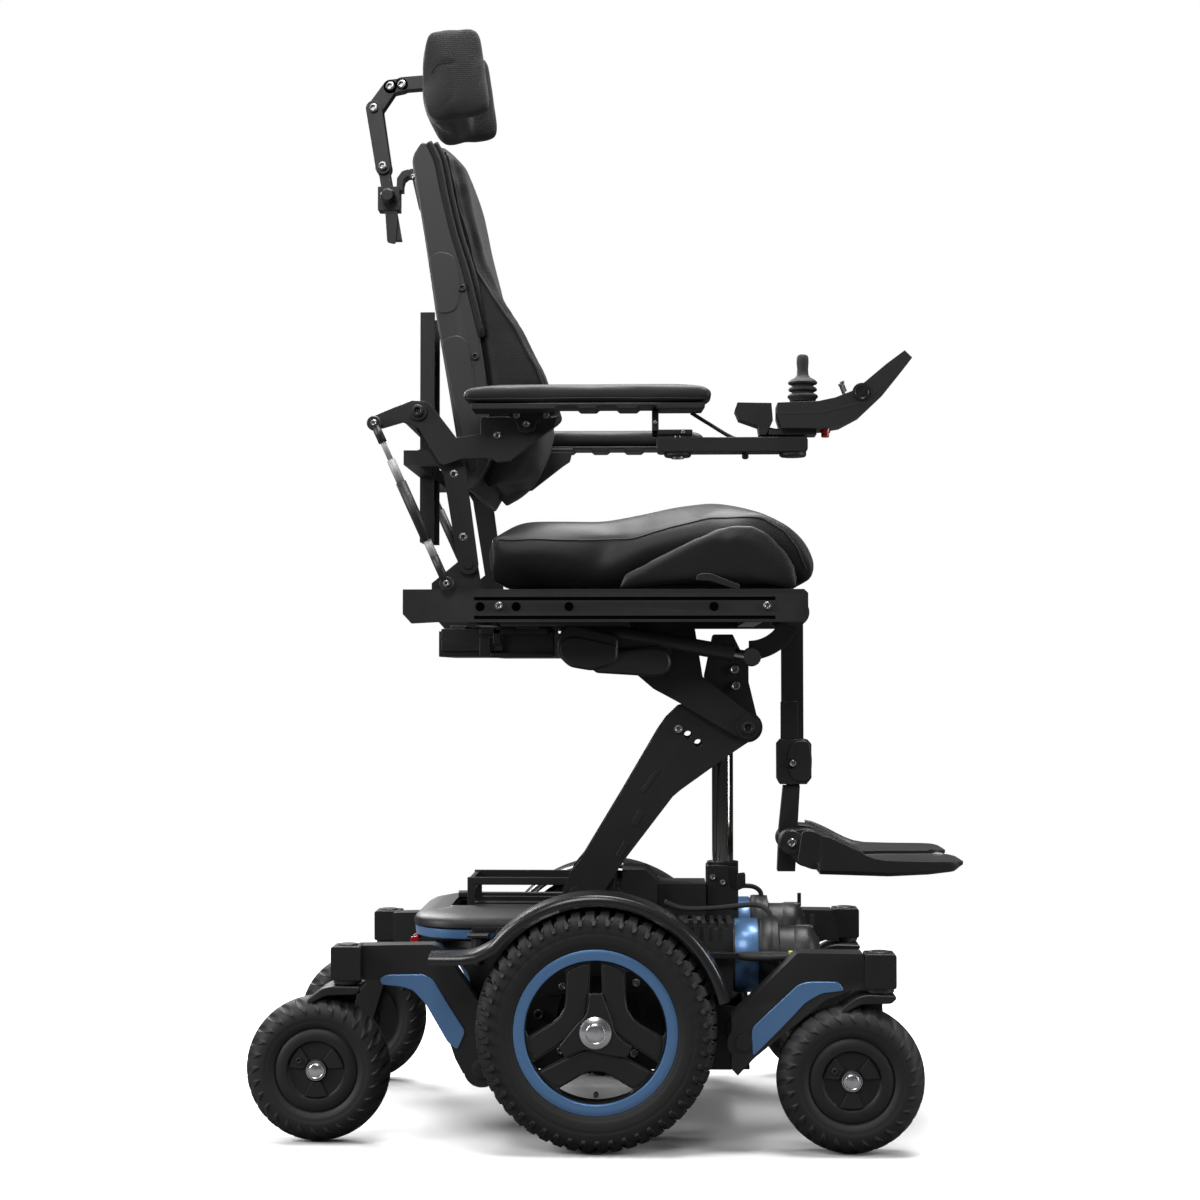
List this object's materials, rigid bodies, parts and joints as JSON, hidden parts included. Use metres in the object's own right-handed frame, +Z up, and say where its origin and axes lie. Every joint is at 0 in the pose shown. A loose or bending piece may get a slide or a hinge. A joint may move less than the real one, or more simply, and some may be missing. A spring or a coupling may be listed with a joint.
{
  "type": "power wheelchair",
  "caption": "Mid-wheel-drive power wheelchair with caster suspension, a column seat lift, tilt, recline, powered legrest, flip-up armrests and a swing-away joystick.",
  "frame": {"origin": "on the floor, under the middle of the overall length and width, 15.5 mm ahead of the drive axle", "axes": "+X forwards, +Y to the sitter's left, +Z up; the seat is drawn fully raised"},
  "size_m": [1.081, 0.654, 1.717],
  "materials": {
    "chassis_black": "fine-textured satin powder coat",
    "shroud_plastic": "fine-grained moulded plastic",
    "battery_case": "moulded case",
    "motor_black": "satin paint",
    "bright_steel": "ground and polished",
    "elastomer": "matt",
    "tyre_rubber": "matt rubber",
    "rim_plastic": "satin moulding",
    "upholstery": "soft coated upholstery",
    "back_fabric": "dense knitted cover",
    "link_rod": "satin black with bright ends",
    "arm_foam": "soft self-skinned foam"
  },
  "bodies": {
    "base": {"base_frame": "chassis_black", "base_cover": "shroud_plastic", "fenders": "shroud_plastic", "batteries": "battery_case", "gear_motors": "motor_black", "lift_rails": "chassis_black", "column_socket": "chassis_black", "tie_down_loops": "bright_steel", "shock_absorbers": "elastomer"},
    "drive_wheel_right": {"drive_tyre_right": "tyre_rubber", "drive_rim_right": "rim_plastic"},
    "drive_wheel_left": {"drive_tyre_left": "tyre_rubber", "drive_rim_left": "rim_plastic"},
    "suspension_front_right": {"arm_front_right": "chassis_black"},
    "caster_fork_front_right": {"fork_front_right": "chassis_black"},
    "caster_wheel_front_right": {"caster_tyre_front_right": "tyre_rubber", "caster_hub_front_right": "rim_plastic"},
    "suspension_front_left": {"arm_front_left": "chassis_black"},
    "caster_fork_front_left": {"fork_front_left": "chassis_black"},
    "caster_wheel_front_left": {"caster_tyre_front_left": "tyre_rubber", "caster_hub_front_left": "rim_plastic"},
    "suspension_rear_right": {"arm_rear_right": "chassis_black"},
    "caster_fork_rear_right": {"fork_rear_right": "chassis_black"},
    "caster_wheel_rear_right": {"caster_tyre_rear_right": "tyre_rubber", "caster_hub_rear_right": "rim_plastic"},
    "suspension_rear_left": {"arm_rear_left": "chassis_black"},
    "caster_fork_rear_left": {"fork_rear_left": "chassis_black"},
    "caster_wheel_rear_left": {"caster_tyre_rear_left": "tyre_rubber", "caster_hub_rear_left": "rim_plastic"},
    "column_middle": {"column_stage": "bright_steel"},
    "carrier": {"lift_carrier": "chassis_black"},
    "lower_lift_arm": {"lift_arm": "chassis_black"},
    "seat": {"seat_frame": "chassis_black", "seat_cushion": "upholstery", "thigh_supports": "back_fabric", "seat_module": "shroud_plastic", "seat_actuators": "motor_black"},
    "back": {"back_frame": "chassis_black", "back_shell": "shroud_plastic", "back_cushion": "back_fabric"},
    "armrest_link_right": {"arm_link_right": "link_rod"},
    "armrest_lever_right": {"arm_lever_right": "chassis_black"},
    "armrest_pad_right": {"armrest_right": "arm_foam"},
    "armrest_link_left": {"arm_link_left": "link_rod"},
    "armrest_lever_left": {"arm_lever_left": "chassis_black"},
    "armrest_pad_left": {"armrest_left": "arm_foam"},
    "headrest_slide": {"headrest_post": "chassis_black"},
    "headrest_arm": {"headrest_link": "chassis_black"},
    "headrest": {"headrest_pad": "upholstery"},
    "leg_actuator_body": {"leg_actuator": "motor_black"},
    "leg_actuator_rod": {"leg_rod": "bright_steel"},
    "legrest": {"legrest_tube": "chassis_black"},
    "legrest_extension": {"legrest_slide": "chassis_black"},
    "foot_right": {"footplate_right": "shroud_plastic"},
    "foot_left": {"footplate_left": "shroud_plastic"},
    "joystick_arm": {"swing_arm": "chassis_black"},
    "joystick_console": {"joystick_housing": "shroud_plastic"},
    "joystick_fore_aft": {"joystick_gimbal": "bright_steel"},
    "joystick_side": {"joystick_stick": "elastomer"},
    "mode_toggles": {"toggles": "bright_steel"}
  },
  "joints": [
    {"name": "drive_wheel_spin_right", "type": "hinge", "parent": "base", "child": "drive_wheel_right", "pos_m": [-0.0155, -0.287, 0.177], "axis": [0, 1, 0], "continuous": true},
    {"name": "drive_wheel_spin_left", "type": "hinge", "parent": "base", "child": "drive_wheel_left", "pos_m": [-0.0155, 0.287, 0.177], "axis": [0, 1, 0], "continuous": true},
    {"name": "suspension_front_right", "type": "hinge", "parent": "base", "child": "suspension_front_right", "pos_m": [0.1995, -0.288, 0.16], "axis": [0, -1, 0], "range_deg": [-4, 6], "stiffness_Nm_per_rad": 3500},
    {"name": "caster_swivel_front_right", "type": "hinge", "parent": "suspension_front_right", "child": "caster_fork_front_right", "pos_m": [0.3975, -0.288, 0.255], "axis": [0, 0, 1], "continuous": true},
    {"name": "caster_spin_front_right", "type": "hinge", "parent": "caster_fork_front_right", "child": "caster_wheel_front_right", "pos_m": [0.3545, -0.288, 0.108], "axis": [0, 1, 0], "continuous": true},
    {"name": "suspension_front_left", "type": "hinge", "parent": "base", "child": "suspension_front_left", "pos_m": [0.1995, 0.288, 0.16], "axis": [0, -1, 0], "range_deg": [-4, 6], "stiffness_Nm_per_rad": 3500},
    {"name": "caster_swivel_front_left", "type": "hinge", "parent": "suspension_front_left", "child": "caster_fork_front_left", "pos_m": [0.3975, 0.288, 0.255], "axis": [0, 0, -1], "continuous": true},
    {"name": "caster_spin_front_left", "type": "hinge", "parent": "caster_fork_front_left", "child": "caster_wheel_front_left", "pos_m": [0.3545, 0.288, 0.108], "axis": [0, 1, 0], "continuous": true},
    {"name": "suspension_rear_right", "type": "hinge", "parent": "base", "child": "suspension_rear_right", "pos_m": [-0.1885, -0.23, 0.106], "axis": [0, 1, 0], "range_deg": [-4, 6], "stiffness_Nm_per_rad": 3500},
    {"name": "caster_swivel_rear_right", "type": "hinge", "parent": "suspension_rear_right", "child": "caster_fork_rear_right", "pos_m": [-0.3895, -0.23, 0.255], "axis": [0, 0, 1], "continuous": true},
    {"name": "caster_spin_rear_right", "type": "hinge", "parent": "caster_fork_rear_right", "child": "caster_wheel_rear_right", "pos_m": [-0.4325, -0.23, 0.108], "axis": [0, 1, 0], "continuous": true},
    {"name": "suspension_rear_left", "type": "hinge", "parent": "base", "child": "suspension_rear_left", "pos_m": [-0.1885, 0.23, 0.106], "axis": [0, 1, 0], "range_deg": [-4, 6], "stiffness_Nm_per_rad": 3500},
    {"name": "caster_swivel_rear_left", "type": "hinge", "parent": "suspension_rear_left", "child": "caster_fork_rear_left", "pos_m": [-0.3895, 0.23, 0.255], "axis": [0, 0, -1], "continuous": true},
    {"name": "caster_spin_rear_left", "type": "hinge", "parent": "caster_fork_rear_left", "child": "caster_wheel_rear_left", "pos_m": [-0.4325, 0.23, 0.108], "axis": [0, 1, 0], "continuous": true},
    {"name": "lift_raise", "type": "slide", "parent": "base", "child": "carrier", "axis": [0, 0, 1], "range_m": [-0.3, 0]},
    {"name": "column_middle_rise", "type": "slide", "parent": "base", "child": "column_middle", "axis": [0, 0, 1], "range_m": [-0.15, 0]},
    {"name": "lower_arm_fold", "type": "hinge", "parent": "carrier", "child": "lower_lift_arm", "pos_m": [0.2145, 0, 0.612], "axis": [0, 1, 0], "range_deg": [0, 50]},
    {"name": "seat_tilt", "type": "hinge", "parent": "carrier", "child": "seat", "pos_m": [0.2145, 0, 0.612], "axis": [0, -1, 0], "range_deg": [0, 30]},
    {"name": "back_recline", "type": "hinge", "parent": "seat", "child": "back", "pos_m": [-0.2095, 0, 0.86], "axis": [0, -1, 0], "range_deg": [0, 50]},
    {"name": "armrest_lever_right", "type": "hinge", "parent": "back", "child": "armrest_lever_right", "pos_m": [-0.2835, -0.248, 1.089], "axis": [0, -1, 0], "range_deg": [-34, 0]},
    {"name": "armrest_link_right", "type": "hinge", "parent": "seat", "child": "armrest_link_right", "pos_m": [-0.2395, -0.262, 0.83], "axis": [0, -1, 0], "range_deg": [0, 48]},
    {"name": "armrest_flip_right", "type": "hinge", "parent": "armrest_lever_right", "child": "armrest_pad_right", "pos_m": [-0.1205, -0.26, 1.068], "axis": [0, -1, 0], "range_deg": [0, 90]},
    {"name": "armrest_lever_left", "type": "hinge", "parent": "back", "child": "armrest_lever_left", "pos_m": [-0.2835, 0.248, 1.089], "axis": [0, -1, 0], "range_deg": [-34, 0]},
    {"name": "armrest_link_left", "type": "hinge", "parent": "seat", "child": "armrest_link_left", "pos_m": [-0.2395, 0.262, 0.83], "axis": [0, -1, 0], "range_deg": [0, 48]},
    {"name": "armrest_flip_left", "type": "hinge", "parent": "armrest_lever_left", "child": "armrest_pad_left", "pos_m": [-0.1205, 0.26, 1.068], "axis": [0, -1, 0], "range_deg": [0, 90]},
    {"name": "headrest_height", "type": "slide", "parent": "back", "child": "headrest_slide", "axis": [-0.1705, 0, 0.9854], "range_m": [0, 0.06]},
    {"name": "headrest_lean", "type": "hinge", "parent": "headrest_slide", "child": "headrest_arm", "pos_m": [-0.3715, 0, 1.519], "axis": [0, -1, 0], "range_deg": [0, 20]},
    {"name": "headrest_tip", "type": "hinge", "parent": "headrest_arm", "child": "headrest", "pos_m": [-0.3865, 0, 1.614], "axis": [0, -1, 0], "range_deg": [-5, 25]},
    {"name": "legrest_raise", "type": "hinge", "parent": "seat", "child": "legrest", "pos_m": [0.2845, 0, 0.79], "axis": [0, -1, 0], "range_deg": [0, 75]},
    {"name": "leg_actuator_pitch", "type": "hinge", "parent": "seat", "child": "leg_actuator_body", "pos_m": [-0.0655, -0.131, 0.772], "axis": [0, -1, 0], "range_deg": [0, 2]},
    {"name": "leg_actuator_extend", "type": "slide", "parent": "leg_actuator_body", "child": "leg_actuator_rod", "axis": [0.985, 0, -0.1728], "range_m": [0, 0.116]},
    {"name": "legrest_length", "type": "slide", "parent": "legrest", "child": "legrest_extension", "axis": [0, 0, -1], "range_m": [0, 0.08]},
    {"name": "footplate_flip_right", "type": "hinge", "parent": "legrest_extension", "child": "foot_right", "pos_m": [0.2845, -0.043, 0.43], "axis": [0, -1, 0], "range_deg": [0, 90]},
    {"name": "footplate_flip_left", "type": "hinge", "parent": "legrest_extension", "child": "foot_left", "pos_m": [0.2845, 0.043, 0.43], "axis": [0, -1, 0], "range_deg": [0, 90]},
    {"name": "joystick_swing", "type": "hinge", "parent": "armrest_pad_right", "child": "joystick_arm", "pos_m": [0.1045, -0.275, 1.034], "axis": [0, 0, -1], "range_deg": [0, 90]},
    {"name": "joystick_console_turn", "type": "hinge", "parent": "joystick_arm", "child": "joystick_console", "pos_m": [0.2625, -0.275, 1.034], "axis": [0, 0, -1], "range_deg": [-91, 0]},
    {"name": "joystick_lean_fore_aft", "type": "hinge", "parent": "joystick_console", "child": "joystick_fore_aft", "pos_m": [0.2895, -0.275, 1.101], "axis": [0, 1, 0], "range_deg": [-18, 18], "stiffness_Nm_per_rad": 0.4},
    {"name": "joystick_lean_side", "type": "hinge", "parent": "joystick_fore_aft", "child": "joystick_side", "pos_m": [0.2895, -0.275, 1.101], "axis": [1, 0, 0], "range_deg": [-18, 18], "stiffness_Nm_per_rad": 0.4},
    {"name": "mode_toggle_rock", "type": "hinge", "parent": "joystick_console", "child": "mode_toggles", "pos_m": [0.3515, -0.275, 1.107], "axis": [0, 1, 0], "range_deg": [-12, 12], "stiffness_Nm_per_rad": 0.2}
  ],
  "couplings": [
    {"joint": "column_middle_rise", "follows": "lift_raise", "ratio": 0.5},
    {"joint": "lower_arm_fold", "follows": "lift_raise", "rad_per_m": -2.9083},
    {"joint": "armrest_lever_right", "follows": "back_recline", "ratio": -0.6698},
    {"joint": "armrest_link_right", "follows": "back_recline", "ratio": 0.9406},
    {"joint": "armrest_lever_left", "follows": "back_recline", "ratio": -0.6698},
    {"joint": "armrest_link_left", "follows": "back_recline", "ratio": 0.9406},
    {"joint": "leg_actuator_pitch", "follows": "legrest_raise", "ratio": 0.014147},
    {"joint": "leg_actuator_extend", "follows": "legrest_raise", "m_per_rad": 0.087362},
    {"joint": "joystick_console_turn", "follows": "joystick_swing", "ratio": -1}
  ]
}
